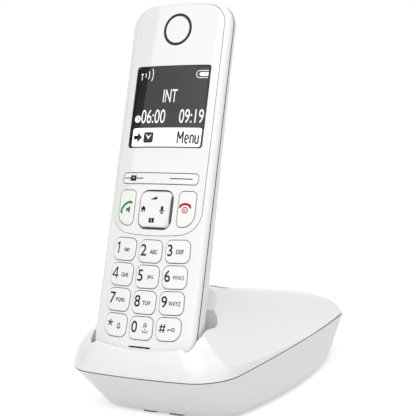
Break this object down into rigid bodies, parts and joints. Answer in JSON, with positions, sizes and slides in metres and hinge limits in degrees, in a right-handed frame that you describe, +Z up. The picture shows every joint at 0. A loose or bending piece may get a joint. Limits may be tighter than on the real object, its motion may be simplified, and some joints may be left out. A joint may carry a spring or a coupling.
{
  "type": "cordless phone with base",
  "caption": "Cordless telephone handset with display, keypad and sprung keys, leaning in the cradle of a low charging base with sockets at its back.",
  "frame": {"origin": "on the table, under the middle of the base", "axes": "+Z up, the front with the keys faces -Y, +X to the right as seen from the front"},
  "size_m": [0.0796, 0.1278, 0.1674],
  "materials": {
    "white_satin": "satin moulded ABS",
    "white_base": "smooth moulded ABS",
    "white_gloss": "high gloss",
    "white_key": "satin key cap",
    "window": "clear acrylic",
    "lcd": "display glass",
    "dark_mesh": "dark fabric mesh",
    "black_plastic": "moulded nylon",
    "silicone": "silicone",
    "rubber": "soft rubber",
    "board": "solder mask",
    "steel": "tinned",
    "contact": "nickel plated",
    "cell_sleeve": "plastic sleeve"
  },
  "bodies": {
    "base": {"base_cover": "white_base", "base_bowl": "white_base", "base_board": "board", "base_shield": "steel", "base_contacts": "contact", "paging_switch": "black_plastic", "line_socket": "black_plastic", "power_socket": "black_plastic", "rubber_feet": "rubber", "base_screws": "steel"},
    "handset": {"handset_front_shell": "white_satin", "front_cover": "white_gloss", "display_window": "window", "earpiece_ring": "dark_mesh", "lcd_module": "lcd", "receiver_capsule": "black_plastic", "microphone": "black_plastic", "keypad_mat": "silicone", "handset_board": "board", "handset_shield": "steel", "handset_rear_shell": "white_satin", "charge_pads": "contact", "battery_cells": "cell_sleeve", "battery_contacts": "steel", "loudspeaker": "black_plastic", "handset_screws": "steel"},
    "battery_cover": {"battery_cover": "white_satin"},
    "paging_key": {"paging_key": "white_key"},
    "talk_key": {"talk_key": "white_key"},
    "end_key": {"end_key": "white_key"},
    "softkey_bar": {"softkey_bar": "white_key"},
    "nav_rocker": {"nav_rocker": "black_plastic"},
    "nav_key": {"nav_key": "white_key"},
    "key_1": {"key_1": "white_key"},
    "key_2": {"key_2": "white_key"},
    "key_3": {"key_3": "white_key"},
    "key_4": {"key_4": "white_key"},
    "key_5": {"key_5": "white_key"},
    "key_6": {"key_6": "white_key"},
    "key_7": {"key_7": "white_key"},
    "key_8": {"key_8": "white_key"},
    "key_9": {"key_9": "white_key"},
    "key_star": {"key_star": "white_key"},
    "key_0": {"key_0": "white_key"},
    "key_hash": {"key_hash": "white_key"}
  },
  "joints": [
    {"name": "handset_lift", "type": "slide", "parent": "base", "child": "handset", "axis": [0, 0.342, 0.9397], "range_m": [0, 0.06]},
    {"name": "battery_cover_open", "type": "hinge", "parent": "handset", "child": "battery_cover", "pos_m": [0, -0.0269, 0.05513], "axis": [-1, 0, 0], "range_deg": [0, 40]},
    {"name": "paging_press", "type": "slide", "parent": "base", "child": "paging_key", "axis": [0, 0, -1], "range_m": [0, 0.0008], "stiffness_N_per_m": 900},
    {"name": "talk_press", "type": "slide", "parent": "handset", "child": "talk_key", "axis": [0, 0.9397, -0.342], "range_m": [0, 0.0007], "stiffness_N_per_m": 900},
    {"name": "end_press", "type": "slide", "parent": "handset", "child": "end_key", "axis": [0, 0.9397, -0.342], "range_m": [0, 0.0007], "stiffness_N_per_m": 900},
    {"name": "key_1_press", "type": "slide", "parent": "handset", "child": "key_1", "axis": [0, 0.9397, -0.342], "range_m": [0, 0.0007], "stiffness_N_per_m": 900},
    {"name": "key_2_press", "type": "slide", "parent": "handset", "child": "key_2", "axis": [0, 0.9397, -0.342], "range_m": [0, 0.0007], "stiffness_N_per_m": 900},
    {"name": "key_3_press", "type": "slide", "parent": "handset", "child": "key_3", "axis": [0, 0.9397, -0.342], "range_m": [0, 0.0007], "stiffness_N_per_m": 900},
    {"name": "key_4_press", "type": "slide", "parent": "handset", "child": "key_4", "axis": [0, 0.9397, -0.342], "range_m": [0, 0.0007], "stiffness_N_per_m": 900},
    {"name": "key_5_press", "type": "slide", "parent": "handset", "child": "key_5", "axis": [0, 0.9397, -0.342], "range_m": [0, 0.0007], "stiffness_N_per_m": 900},
    {"name": "key_6_press", "type": "slide", "parent": "handset", "child": "key_6", "axis": [0, 0.9397, -0.342], "range_m": [0, 0.0007], "stiffness_N_per_m": 900},
    {"name": "key_7_press", "type": "slide", "parent": "handset", "child": "key_7", "axis": [0, 0.9397, -0.342], "range_m": [0, 0.0007], "stiffness_N_per_m": 900},
    {"name": "key_8_press", "type": "slide", "parent": "handset", "child": "key_8", "axis": [0, 0.9397, -0.342], "range_m": [0, 0.0007], "stiffness_N_per_m": 900},
    {"name": "key_9_press", "type": "slide", "parent": "handset", "child": "key_9", "axis": [0, 0.9397, -0.342], "range_m": [0, 0.0007], "stiffness_N_per_m": 900},
    {"name": "key_star_press", "type": "slide", "parent": "handset", "child": "key_star", "axis": [0, 0.9397, -0.342], "range_m": [0, 0.0007], "stiffness_N_per_m": 900},
    {"name": "key_0_press", "type": "slide", "parent": "handset", "child": "key_0", "axis": [0, 0.9397, -0.342], "range_m": [0, 0.0007], "stiffness_N_per_m": 900},
    {"name": "key_hash_press", "type": "slide", "parent": "handset", "child": "key_hash", "axis": [0, 0.9397, -0.342], "range_m": [0, 0.0007], "stiffness_N_per_m": 900},
    {"name": "softkey_rock", "type": "hinge", "parent": "handset", "child": "softkey_bar", "pos_m": [0, -0.0308, 0.0956], "axis": [0, 0.342, 0.9397], "range_deg": [-1.5, 1.5], "stiffness_Nm_per_rad": 0.8},
    {"name": "nav_up_down", "type": "hinge", "parent": "handset", "child": "nav_rocker", "pos_m": [0, -0.03525, 0.08339], "axis": [1, 0, 0], "range_deg": [-2.5, 2.5], "stiffness_Nm_per_rad": 0.3},
    {"name": "nav_left_right", "type": "hinge", "parent": "nav_rocker", "child": "nav_key", "pos_m": [0, -0.03637, 0.0838], "axis": [0, 0.342, 0.9397], "range_deg": [-2.5, 2.5], "stiffness_Nm_per_rad": 0.3}
  ]
}
